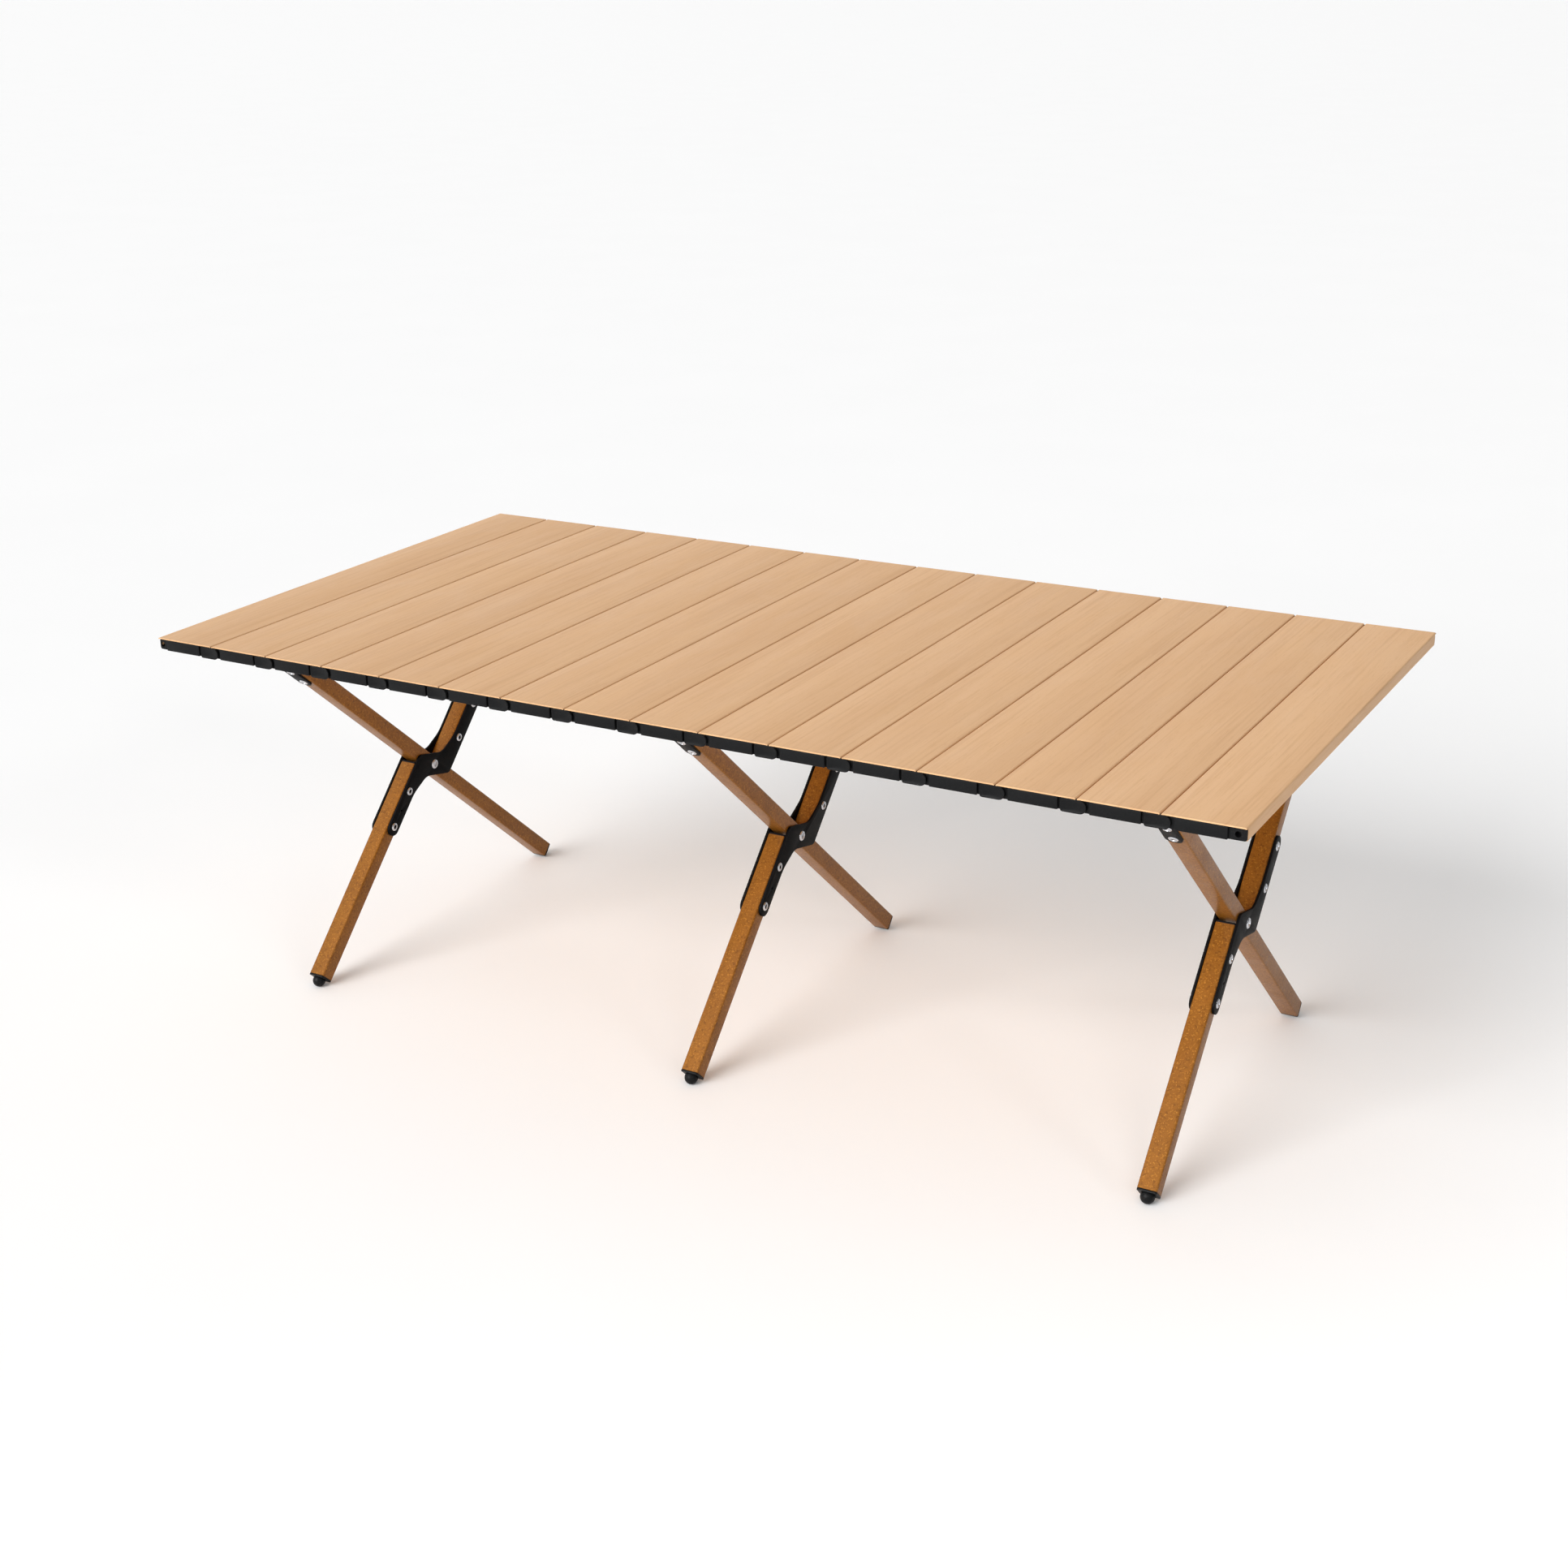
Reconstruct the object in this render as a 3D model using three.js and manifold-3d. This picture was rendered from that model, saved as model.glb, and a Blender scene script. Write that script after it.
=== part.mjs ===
// Folding picnic table: a top of sixteen hinged slats that rolls up, on three folding cross-leg frames
// that are joined along the table by pairs of folding rails.
// Millimetres. +X runs along the table, +Y across it to the far side, +Z up.
// The origin is on the floor, under the centre of the top.
import * as THREE from "three";
import { mergeVertices } from "three/addons/utils/BufferGeometryUtils.js";
import Module from "manifold-3d";

const wasm = await Module();
wasm.setup();

// Overall sizes.
const TABLE_LENGTH = 1200;
const TABLE_WIDTH = 612;
const TABLE_HEIGHT = 426;
const RUNNING_GAP = 0.3; // between pieces that touch or turn on each other
const CUT_PAST = 1; // how far a cut runs past the face that it opens
const JOIN_DEPTH = 1; // how far joined solids reach into each other

// Slats of the top, each a hollow extrusion with a moulded cap in both ends.
const SLAT_COUNT = 16;
const SLAT_THICKNESS = 13;
const SEAM_GAP = 1;
const SLAT_WALL = 1.3;
const SLAT_TOP_ROUND = 1.6;
const SLAT_BOTTOM_ROUND = 1;
const HOLLOW_ROUND = 0.5;
const CAP_WALL = 3;
const LIP_THICKNESS = 1.2; // the extrusion's own top wall, which shows above the caps

// Links that join one slat's cap to the next.
const LINK_PROUD = 0.5;
const LINK_THICKNESS = 2.8;
const LINK_HEIGHT = 12.2;
const LINK_BEHIND = 14; // reach over the slat that carries it
const LINK_AHEAD = 9.5; // reach over the next slat
const LINK_CORNER = 1.5;
const SHELF_MARGIN = 0.9; // shelf that shows past each end of the link
const LINK_BOSS_RADIUS = 4;
const LINK_HOLE_RADIUS = 2.8;
const LINK_HOLE_INSET = 8; // from the seam back to the pin hole under the link's boss
const NEXT_HOLE_INSET = 4; // from the seam on to the pin hole in the next slat

// Square tube of the legs.
const TUBE_WIDTH = 20; // along the table
const TUBE_DEPTH = 18; // in the plane of the cross
const TUBE_WALL = 1.3;
const TUBE_ROUND = 2.4;

// The three crosses.
const FRAME_SPACING = 500;
const FOOT_SPREAD = 220; // foot from the middle of the table
const HINGE_SPREAD = 250; // top hinge from the middle of the table
const HINGE_OFFSET = 10.4; // top hinge from the middle line of the straight leg
const FOLD_GAP = 4.8; // between the straight leg and each half of the cranked leg, once folded
const HALF_LEG_GAP = 4.87; // between the straight leg and the inner end of each half of the cranked leg
const TOP_CLEARANCE = 2.5; // from the highest corner of a leg to the slats

// Crank plates, one on each side of the cranked leg.
const PLATE_THICKNESS = 2.4;
const PLATE_REACH = 105; // from the pivot to each rounded end
const PLATE_LEAN = 14; // how far each slanting shoulder leans either side of its middle
const PLATE_SHOULDER = 10; // middle of each slanting shoulder from the pivot
const PLATE_KNEE = 46; // from the pivot to where each arm starts to widen
const PLATE_NECK = 5; // from the plate's middle line to where the widening meets the shoulder

// Pivot bolts.
const BOLT_RADIUS = 4;
const BOLT_HEAD_RADIUS = 6;
const BOLT_HEAD = 1.6;

// Feet.
const BALL_RADIUS = 7.2;
const BALL_NECK = 2.3;
const FOOT_FLANGE = 2;
const FOOT_PLUG = 14;

// Straps that carry the top hinges.
const STRAP_THICKNESS = 2;
const STRAP_WIDTH = 17;
const STRAP_LENGTH = 80; // from the hinge to the rounded end
const STRAP_SHOULDER = 15; // from the hinge to where the strap is at full width
const TONGUE_WIDTH = 10;
const KNUCKLE_RADIUS = 5.5;

// Hubs under the top, with the hinge pins.
const PIN_RADIUS = 2.5;
const HUB_HALF_LENGTH = 11;
const HUB_INWARD = 7;
const HUB_OUTWARD = 10.5;
const HUB_BRIDGE = 4;
const LUG_THICKNESS = 4;

// Folding rails, two halves in each bay on each side.
const RAIL_DEPTH = 12.6;
const RAIL_THICKNESS = 7;
const RAIL_TO_SLAT = 0.4;
const RAIL_PIN_REACH = 20; // from the middle of a hub to its rail pins
const COLLAR_RADIUS = 5;

// Worked out from the sizes above.
const SLAT_PITCH = TABLE_LENGTH / SLAT_COUNT;
const SLAT_WIDTH = SLAT_PITCH - SEAM_GAP;
const SLAT_UNDERSIDE = TABLE_HEIGHT - SLAT_THICKNESS;
const CAP_FACE = TABLE_WIDTH / 2 - LINK_PROUD;
const LINK_BACK = TABLE_WIDTH / 2 - LINK_THICKNESS;
const SHELF_FACE = LINK_BACK - RUNNING_GAP;
const LINK_MIDDLE = SLAT_THICKNESS - LIP_THICKNESS - RUNNING_GAP - LINK_HEIGHT / 2;
const HINGE_HEIGHT = SLAT_UNDERSIDE - RAIL_TO_SLAT - RAIL_DEPTH / 2;
const PIVOT_HEIGHT = pivotHeight();
const FOOT_FALL = PIVOT_HEIGHT - BALL_RADIUS;
const HINGE_RISE = HINGE_HEIGHT - PIVOT_HEIGHT;
const FOOT_RADIUS = Math.hypot(FOOT_SPREAD, FOOT_FALL);
const STRAIGHT_ANGLE = Math.atan2(FOOT_FALL, FOOT_SPREAD);
const CRANK_OFFSET = TUBE_DEPTH + FOLD_GAP;
const CRANKED_ANGLE = STRAIGHT_ANGLE + Math.asin(CRANK_OFFSET / FOOT_RADIUS);
const CRANKED_FOOT = Math.sqrt(FOOT_RADIUS ** 2 - CRANK_OFFSET ** 2);
const HALF_LEG_START = halfLegStart();
const RAIL_LENGTH = FRAME_SPACING / 2 - RAIL_PIN_REACH;
const RAIL_OFFSET = LUG_THICKNESS / 2 + RUNNING_GAP + RAIL_THICKNESS / 2;
const BORE_RADIUS = PIN_RADIUS + RUNNING_GAP;
const KNUCKLE_HALF_WIDTH = TONGUE_WIDTH / 2;
const PLATE_INSIDE = TUBE_WIDTH / 2 + RUNNING_GAP;
const PLATE_OUTSIDE = PLATE_INSIDE + PLATE_THICKNESS;

// The pivot's height where a straight leg from the foot passes the top hinge at its offset.
function pivotHeight() {
  const rise = HINGE_HEIGHT - BALL_RADIUS;
  const spread = 1 + HINGE_SPREAD / FOOT_SPREAD;
  const a = spread ** 2 - (HINGE_OFFSET / FOOT_SPREAD) ** 2;
  const b = spread * rise;
  const c = rise ** 2 - HINGE_OFFSET ** 2;
  return BALL_RADIUS + (b + Math.sqrt(b ** 2 - a * c)) / a;
}

// From the pivot to the inner end of each half of the cranked leg, whichever of its corners is nearer.
function halfLegStart() {
  const crossing = STRAIGHT_ANGLE + CRANKED_ANGLE;
  const inner = (CRANK_OFFSET - TUBE_DEPTH / 2) * Math.cos(crossing);
  const outer = (CRANK_OFFSET + TUBE_DEPTH / 2) * Math.cos(crossing);
  const clear = TUBE_DEPTH / 2 + HALF_LEG_GAP;
  return (clear + Math.max(inner, outer)) / Math.sin(crossing);
}

// How finely round shapes are drawn: an arc of any length takes twice as many sides as its steps.
const CORNER_STEPS = 1;
const HOLE_STEPS = 4;
const ARC_STEPS = 6;
const BALL_SIDES = 16;
const BALL_RINGS = 5;

const golden_coat = new THREE.MeshStandardMaterial({ color: 0xb97a3c, roughness: 0.45, metalness: 0.35 });
const beech_film = new THREE.MeshStandardMaterial({ color: 0xd9b083, roughness: 0.5, metalness: 0.05 });
const black_steel = new THREE.MeshStandardMaterial({ color: 0x1b1b1c, roughness: 0.5, metalness: 0.6 });
const black_plastic = new THREE.MeshStandardMaterial({ color: 0x17181a, roughness: 0.6, metalness: 0 });
const bright_steel = new THREE.MeshStandardMaterial({ color: 0xb9bcc0, roughness: 0.3, metalness: 0.95 });

// Solids and meshes.
function solidOf(geometry) {
  const plain = geometry.index ? geometry.toNonIndexed() : geometry.clone();
  plain.deleteAttribute("normal");
  plain.deleteAttribute("uv");
  const merged = mergeVertices(plain, 1e-4);
  const vertProperties = merged.attributes.position.array;
  const triVerts = new Uint32Array(merged.index.array);
  return new wasm.Manifold(new wasm.Mesh({ numProp: 3, vertProperties, triVerts }));
}

function join(...solids) {
  return solids.reduce((whole, next) => whole.add(next));
}

function meshOf(name, solid, material) {
  const made = solid.getMesh();
  const geometry = new THREE.BufferGeometry();
  geometry.setAttribute("position", new THREE.BufferAttribute(made.vertProperties, made.numProp));
  geometry.setIndex(new THREE.BufferAttribute(made.triVerts, 1));
  const flat = geometry.toNonIndexed();
  flat.computeVertexNormals();
  const mesh = new THREE.Mesh(flat, material);
  mesh.name = name;
  return mesh;
}

// An outline pushed out along one axis, from one place on it to another.
function extrude(shape, length, steps = CORNER_STEPS) {
  return new THREE.ExtrudeGeometry(shape, { depth: length, bevelEnabled: false, curveSegments: steps });
}

// The outline's x and y become Y and Z.
function alongX(shape, from, to, steps) {
  const low = Math.min(from, to);
  const geometry = extrude(shape, Math.abs(to - from), steps);
  const yAxis = new THREE.Vector3(0, 1, 0);
  const zAxis = new THREE.Vector3(0, 0, 1);
  const xAxis = new THREE.Vector3(1, 0, 0);
  geometry.applyMatrix4(new THREE.Matrix4().makeBasis(yAxis, zAxis, xAxis));
  return solidOf(geometry.translate(low, 0, 0));
}

// The outline's x and y become X and Z.
function alongY(shape, from, to, steps) {
  const high = Math.max(from, to);
  const geometry = extrude(shape, Math.abs(to - from), steps);
  return solidOf(geometry.rotateX(Math.PI / 2).translate(0, high, 0));
}

// The outline's x and y become X and Y.
function alongZ(shape, from, to, steps) {
  const low = Math.min(from, to);
  return solidOf(extrude(shape, Math.abs(to - from), steps).translate(0, 0, low));
}

function box(xFrom, xTo, yFrom, yTo, zFrom, zTo) {
  const geometry = new THREE.BoxGeometry(xTo - xFrom, Math.abs(yTo - yFrom), zTo - zFrom);
  return solidOf(geometry.translate((xFrom + xTo) / 2, (yFrom + yTo) / 2, (zFrom + zTo) / 2));
}

function disc(radius, x = 0, y = 0) {
  const shape = new THREE.Shape();
  shape.absarc(x, y, radius, 0, 2 * Math.PI, false);
  return shape;
}

function roundedBox(width, height, radius) {
  const shape = new THREE.Shape();
  const x = width / 2 - radius;
  const y = height / 2 - radius;
  shape.absarc(x, y, radius, 0, Math.PI / 2, false);
  shape.absarc(-x, y, radius, Math.PI / 2, Math.PI, false);
  shape.absarc(-x, -y, radius, Math.PI, 1.5 * Math.PI, false);
  shape.absarc(x, -y, radius, 1.5 * Math.PI, 2 * Math.PI, false);
  return shape;
}

// A bar with fully rounded ends.
function barOutline(length) {
  const radius = RAIL_DEPTH / 2;
  const x = length / 2 - radius;
  const shape = new THREE.Shape();
  shape.absarc(x, 0, radius, -Math.PI / 2, Math.PI / 2, false);
  shape.absarc(-x, 0, radius, Math.PI / 2, 1.5 * Math.PI, false);
  return new THREE.Shape(shape.getPoints(HOLE_STEPS));
}

// Slats.
function slatSection() {
  const shape = new THREE.Shape();
  const top = SLAT_THICKNESS - SLAT_TOP_ROUND;
  const topX = SLAT_WIDTH / 2 - SLAT_TOP_ROUND;
  const bottomX = SLAT_WIDTH / 2 - SLAT_BOTTOM_ROUND;
  shape.absarc(topX, top, SLAT_TOP_ROUND, 0, Math.PI / 2, false);
  shape.absarc(-topX, top, SLAT_TOP_ROUND, Math.PI / 2, Math.PI, false);
  shape.absarc(-bottomX, SLAT_BOTTOM_ROUND, SLAT_BOTTOM_ROUND, Math.PI, 1.5 * Math.PI, false);
  shape.absarc(bottomX, SLAT_BOTTOM_ROUND, SLAT_BOTTOM_ROUND, 1.5 * Math.PI, 2 * Math.PI, false);
  return shape;
}

// Square at the end behind the seam, round at the end ahead of it; x is measured from the seam.
function linkOutline() {
  const shape = new THREE.Shape();
  const half = LINK_HEIGHT / 2;
  const roundX = LINK_AHEAD - half;
  const squareX = LINK_CORNER - LINK_BEHIND;
  const squareY = half - LINK_CORNER;
  shape.absarc(roundX, 0, half, -Math.PI / 2, Math.PI / 2, false);
  shape.absarc(squareX, squareY, LINK_CORNER, Math.PI / 2, Math.PI, false);
  shape.absarc(squareX, -squareY, LINK_CORNER, Math.PI, 1.5 * Math.PI, false);
  return shape;
}

function moved(shape, x, y, steps = CORNER_STEPS) {
  const points = shape.getPoints(steps).map((p) => new THREE.Vector2(p.x + x, p.y + y));
  return new THREE.Shape(points);
}

// One end of a slat: shelves cut for the links, and pin holes that open the hollow.
function cutSlatEnd(slat, side) {
  const left = -SLAT_WIDTH / 2;
  const right = SLAT_WIDTH / 2;
  const beyond = TABLE_WIDTH / 2 + CUT_PAST;
  const shelfTop = SLAT_THICKNESS - LIP_THICKNESS;
  const leftShelf = LINK_AHEAD + SHELF_MARGIN;
  const rightShelf = LINK_BEHIND + SHELF_MARGIN;
  const shelfY = side * SHELF_FACE;
  const outY = side * beyond;
  const hollowY = side * (SHELF_FACE - CAP_WALL - CUT_PAST);
  const hole = disc(LINK_HOLE_RADIUS, left + NEXT_HOLE_INSET, LINK_MIDDLE);
  const endHole = disc(LINK_HOLE_RADIUS, right - LINK_HOLE_INSET, LINK_MIDDLE);
  return slat
    .subtract(box(left - CUT_PAST, left + leftShelf, shelfY, outY, -CUT_PAST, shelfTop))
    .subtract(box(right - rightShelf, right + CUT_PAST, shelfY, outY, -CUT_PAST, shelfTop))
    .subtract(alongY(hole, hollowY, outY, HOLE_STEPS))
    .subtract(alongY(endHole, hollowY, outY, HOLE_STEPS));
}

function link(side) {
  const seam = SLAT_PITCH / 2;
  const outline = moved(linkOutline(), seam, LINK_MIDDLE, 2);
  const boss = disc(LINK_BOSS_RADIUS, seam - LINK_HOLE_INSET, LINK_MIDDLE);
  const tab = alongY(outline, side * LINK_BACK, (side * TABLE_WIDTH) / 2);
  const bossFrom = side * (SHELF_FACE - CAP_WALL / 2);
  return tab.add(alongY(boss, bossFrom, side * (LINK_BACK + JOIN_DEPTH), HOLE_STEPS));
}

function slat(hasLinks) {
  const hollowWidth = SLAT_WIDTH - 2 * SLAT_WALL;
  const hollowHeight = SLAT_THICKNESS - 2 * SLAT_WALL;
  const hollow = roundedBox(hollowWidth, hollowHeight, HOLLOW_ROUND);
  const hollowEnd = SHELF_FACE - CAP_WALL;
  const inside = alongY(moved(hollow, 0, SLAT_THICKNESS / 2), -hollowEnd, hollowEnd, 1);
  let body = alongY(slatSection(), -CAP_FACE, CAP_FACE).subtract(inside);
  for (const side of [-1, 1]) {
    body = cutSlatEnd(body, side);
    if (hasLinks) body = body.add(link(side));
  }
  return body;
}

function addTop(table) {
  const linked = slat(true);
  const last = slat(false);
  for (let i = 0; i < SLAT_COUNT; i++) {
    const name = "slat_" + String(i + 1).padStart(2, "0");
    const mesh = meshOf(name, i < SLAT_COUNT - 1 ? linked : last, beech_film);
    mesh.position.set((i + 0.5) * SLAT_PITCH - TABLE_LENGTH / 2, 0, SLAT_UNDERSIDE);
    table.add(mesh);
  }
}

// Legs. In a leg's own group Y runs up the leg from the pivot and Z across it.
function tube(from, to, offset) {
  const section = roundedBox(TUBE_WIDTH, TUBE_DEPTH, TUBE_ROUND);
  const inner = roundedBox(TUBE_WIDTH - 2 * TUBE_WALL, TUBE_DEPTH - 2 * TUBE_WALL, TUBE_ROUND - TUBE_WALL);
  section.holes.push(new THREE.Path(inner.getPoints(CORNER_STEPS)));
  return alongY(section, from, to).translate([0, 0, offset]);
}

// How far up its own line a leg may reach below the slats, where its tube is offset from that line.
function legTop(angle, offset) {
  const room = SLAT_UNDERSIDE - TOP_CLEARANCE - PIVOT_HEIGHT;
  return (room - (offset + TUBE_DEPTH / 2) * Math.cos(angle)) / Math.sin(angle);
}

function footEnd(ballDistance) {
  return ballDistance - BALL_NECK - FOOT_FLANGE - RUNNING_GAP;
}

function foot(ballDistance, offset) {
  const plugWidth = TUBE_WIDTH - 2 * TUBE_WALL - 2 * RUNNING_GAP;
  const plugDepth = TUBE_DEPTH - 2 * TUBE_WALL - 2 * RUNNING_GAP;
  const plugRound = TUBE_ROUND - TUBE_WALL;
  const flangeFace = -ballDistance + BALL_NECK;
  const flangeBack = flangeFace + FOOT_FLANGE;
  const profile = [new THREE.Vector2(0, -BALL_RADIUS)];
  for (let i = 1; i <= BALL_RINGS; i++) {
    const angle = ((i / BALL_RINGS) * Math.PI) / 2;
    profile.push(new THREE.Vector2(BALL_RADIUS * Math.sin(angle), -BALL_RADIUS * Math.cos(angle)));
  }
  profile.push(new THREE.Vector2(BALL_RADIUS, BALL_NECK + FOOT_FLANGE / 2));
  profile.push(new THREE.Vector2(0, BALL_NECK + FOOT_FLANGE / 2));
  const ball = solidOf(new THREE.LatheGeometry(profile, BALL_SIDES).translate(0, -ballDistance, 0));
  const flange = alongY(roundedBox(TUBE_WIDTH, TUBE_DEPTH, TUBE_ROUND), flangeFace, flangeBack);
  const plugFrom = flangeBack - JOIN_DEPTH;
  const plug = alongY(roundedBox(plugWidth, plugDepth, plugRound), plugFrom, flangeBack + FOOT_PLUG);
  return join(ball, flange, plug).translate([0, 0, offset]);
}

// The slanting shoulders carry the plate from one half of the cranked leg to the other, and each arm widens
// towards its shoulder.
function crankOutline() {
  const half = TUBE_DEPTH / 2;
  const end = PLATE_REACH - half;
  const outer = CRANK_OFFSET + half;
  const inner = CRANK_OFFSET - half;
  const slope = (2 * PLATE_LEAN) / (inner + outer);
  const neck = PLATE_SHOULDER + PLATE_LEAN - slope * (inner - PLATE_NECK);
  const shape = new THREE.Shape();
  shape.absarc(-end, CRANK_OFFSET, half, 0.5 * Math.PI, 1.5 * Math.PI, false);
  shape.lineTo(-PLATE_KNEE, inner);
  shape.lineTo(-neck, PLATE_NECK);
  shape.lineTo(-PLATE_SHOULDER + PLATE_LEAN, -outer);
  shape.absarc(end, -CRANK_OFFSET, half, -0.5 * Math.PI, 0.5 * Math.PI, false);
  shape.lineTo(PLATE_KNEE, -inner);
  shape.lineTo(neck, -PLATE_NECK);
  shape.lineTo(PLATE_SHOULDER - PLATE_LEAN, outer);
  return shape;
}

function crankPlate(side) {
  const shape = crankOutline();
  shape.holes.push(new THREE.Path(disc(BOLT_RADIUS + RUNNING_GAP).getPoints(ARC_STEPS)));
  return alongX(shape, side * PLATE_INSIDE, side * PLATE_OUTSIDE, ARC_STEPS);
}

function pivotBolt() {
  const headBack = PLATE_OUTSIDE + RUNNING_GAP;
  const headFace = headBack + BOLT_HEAD;
  const shankEnd = headFace - BOLT_HEAD / 2;
  const shank = alongX(disc(BOLT_RADIUS), -shankEnd, shankEnd, ARC_STEPS);
  const near = alongX(disc(BOLT_HEAD_RADIUS), headBack, headFace, ARC_STEPS);
  const far = alongX(disc(BOLT_HEAD_RADIUS), -headFace, -headBack, ARC_STEPS);
  return join(shank, near, far);
}

// A strap against one face of a leg, ending in the knuckle that turns on a hub's pin.
function topStrap(hinge, face, outward) {
  const half = STRAP_WIDTH / 2;
  const roundEnd = hinge.y - STRAP_LENGTH + half;
  const shoulder = hinge.y - STRAP_SHOULDER;
  const taper = half - KNUCKLE_HALF_WIDTH;
  const shape = new THREE.Shape();
  shape.absarc(0, roundEnd, half, Math.PI, 2 * Math.PI, false);
  shape.lineTo(half, shoulder);
  shape.lineTo(KNUCKLE_HALF_WIDTH, shoulder + taper);
  shape.lineTo(KNUCKLE_HALF_WIDTH, hinge.y);
  shape.lineTo(-KNUCKLE_HALF_WIDTH, hinge.y);
  shape.lineTo(-KNUCKLE_HALF_WIDTH, shoulder + taper);
  shape.lineTo(-half, shoulder);
  const back = face + outward * RUNNING_GAP;
  const strap = alongZ(shape, back, back + outward * STRAP_THICKNESS, ARC_STEPS);
  const round = disc(KNUCKLE_RADIUS, hinge.y, hinge.z);
  const hole = disc(BORE_RADIUS, hinge.y, hinge.z);
  const knuckle = alongX(round, -KNUCKLE_HALF_WIDTH, KNUCKLE_HALF_WIDTH, ARC_STEPS);
  const bore = alongX(hole, -TONGUE_WIDTH, TONGUE_WIDTH, ARC_STEPS);
  return strap.add(knuckle).subtract(bore);
}

// The top hinge's place in the group of a leg that is turned by this angle.
function hingeInLeg(worldY, turn) {
  return {
    y: worldY * Math.cos(turn) + HINGE_RISE * Math.sin(turn),
    z: HINGE_RISE * Math.cos(turn) - worldY * Math.sin(turn),
  };
}

function boltBore() {
  return alongX(disc(BOLT_RADIUS + RUNNING_GAP), -TUBE_WIDTH, TUBE_WIDTH, ARC_STEPS);
}

function straightLeg(name) {
  const turn = Math.PI - STRAIGHT_ANGLE;
  const group = new THREE.Group();
  group.rotation.x = turn;
  const leg = tube(-footEnd(FOOT_RADIUS), legTop(STRAIGHT_ANGLE, 0), 0).subtract(boltBore());
  const strap = topStrap(hingeInLeg(-HINGE_SPREAD, turn), TUBE_DEPTH / 2, 1);
  group.add(meshOf(name + "_straight_leg", leg, golden_coat));
  group.add(meshOf(name + "_far_foot", foot(FOOT_RADIUS, 0), black_plastic));
  group.add(meshOf(name + "_near_strap", strap, black_steel));
  return group;
}

function crankedLeg(name) {
  const group = new THREE.Group();
  group.rotation.x = CRANKED_ANGLE;
  const lower = tube(-footEnd(CRANKED_FOOT), -HALF_LEG_START, CRANK_OFFSET);
  const upper = tube(HALF_LEG_START, legTop(CRANKED_ANGLE, -CRANK_OFFSET), -CRANK_OFFSET);
  const strapFace = -CRANK_OFFSET - TUBE_DEPTH / 2;
  const strap = topStrap(hingeInLeg(HINGE_SPREAD, CRANKED_ANGLE), strapFace, -1);
  group.add(meshOf(name + "_lower_leg", lower, golden_coat));
  group.add(meshOf(name + "_upper_leg", upper, golden_coat));
  group.add(meshOf(name + "_left_crank_plate", crankPlate(-1), black_steel));
  group.add(meshOf(name + "_right_crank_plate", crankPlate(1), black_steel));
  group.add(meshOf(name + "_pivot_bolt", pivotBolt(), bright_steel));
  group.add(meshOf(name + "_near_foot", foot(CRANKED_FOOT, CRANK_OFFSET), black_plastic));
  group.add(meshOf(name + "_far_strap", strap, black_steel));
  return group;
}

// Hubs. Y is measured from the hinge pin, and side is +1 where outward is +Y.
function railLug(towards, pinSide, side) {
  const from = KNUCKLE_HALF_WIDTH + RUNNING_GAP;
  const to = RAIL_PIN_REACH + RAIL_DEPTH / 2;
  const outline = moved(barOutline(to - from), (towards * (from + to)) / 2, 0);
  const plate = alongY(outline, -LUG_THICKNESS / 2, LUG_THICKNESS / 2);
  const pinEnd = RAIL_OFFSET + RAIL_THICKNESS / 2;
  const pin = alongY(disc(PIN_RADIUS, towards * RAIL_PIN_REACH, 0), 0, side * pinSide * pinEnd, HOLE_STEPS);
  return plate.add(pin);
}

function hub(side, lugs) {
  const half = RAIL_DEPTH / 2;
  const slot = KNUCKLE_HALF_WIDTH + RUNNING_GAP;
  const block = box(-HUB_HALF_LENGTH, HUB_HALF_LENGTH, -side * HUB_INWARD, side * HUB_OUTWARD, -half, half);
  const bridgeFrom = side * (HUB_OUTWARD - HUB_BRIDGE);
  const gapFrom = -side * (HUB_INWARD + CUT_PAST);
  const gap = box(-slot, slot, gapFrom, bridgeFrom, -half - CUT_PAST, half + CUT_PAST);
  const pinEnd = HUB_HALF_LENGTH - JOIN_DEPTH;
  const pin = alongX(disc(PIN_RADIUS), -pinEnd, pinEnd, ARC_STEPS);
  const body = block.subtract(gap).add(pin);
  return join(body, ...lugs.map(([towards, pinSide]) => railLug(towards, pinSide, side)));
}

const INWARD = -1;
const OUTWARD = 1;

function addHubs(table, name, x, lugs) {
  for (const [sideName, side] of [["near", -1], ["far", 1]]) {
    const mesh = meshOf(name + "_" + sideName + "_hub", hub(side, lugs), black_plastic);
    mesh.position.set(x, side * HINGE_SPREAD, HINGE_HEIGHT);
    table.add(mesh);
  }
}

// Rails. X is measured from the end that is nearer the middle of the table.
function railBar(offset) {
  const placed = moved(barOutline(RAIL_LENGTH + RAIL_DEPTH), RAIL_LENGTH / 2, 0);
  return alongY(placed, offset - RAIL_THICKNESS / 2, offset + RAIL_THICKNESS / 2);
}

function railBore(x) {
  return alongY(disc(BORE_RADIUS, x, 0), -2 * RAIL_OFFSET, 2 * RAIL_OFFSET, HOLE_STEPS);
}

function innerRail(outwardSign) {
  return railBar(-outwardSign * RAIL_OFFSET).subtract(railBore(0)).subtract(railBore(RAIL_LENGTH));
}

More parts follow.
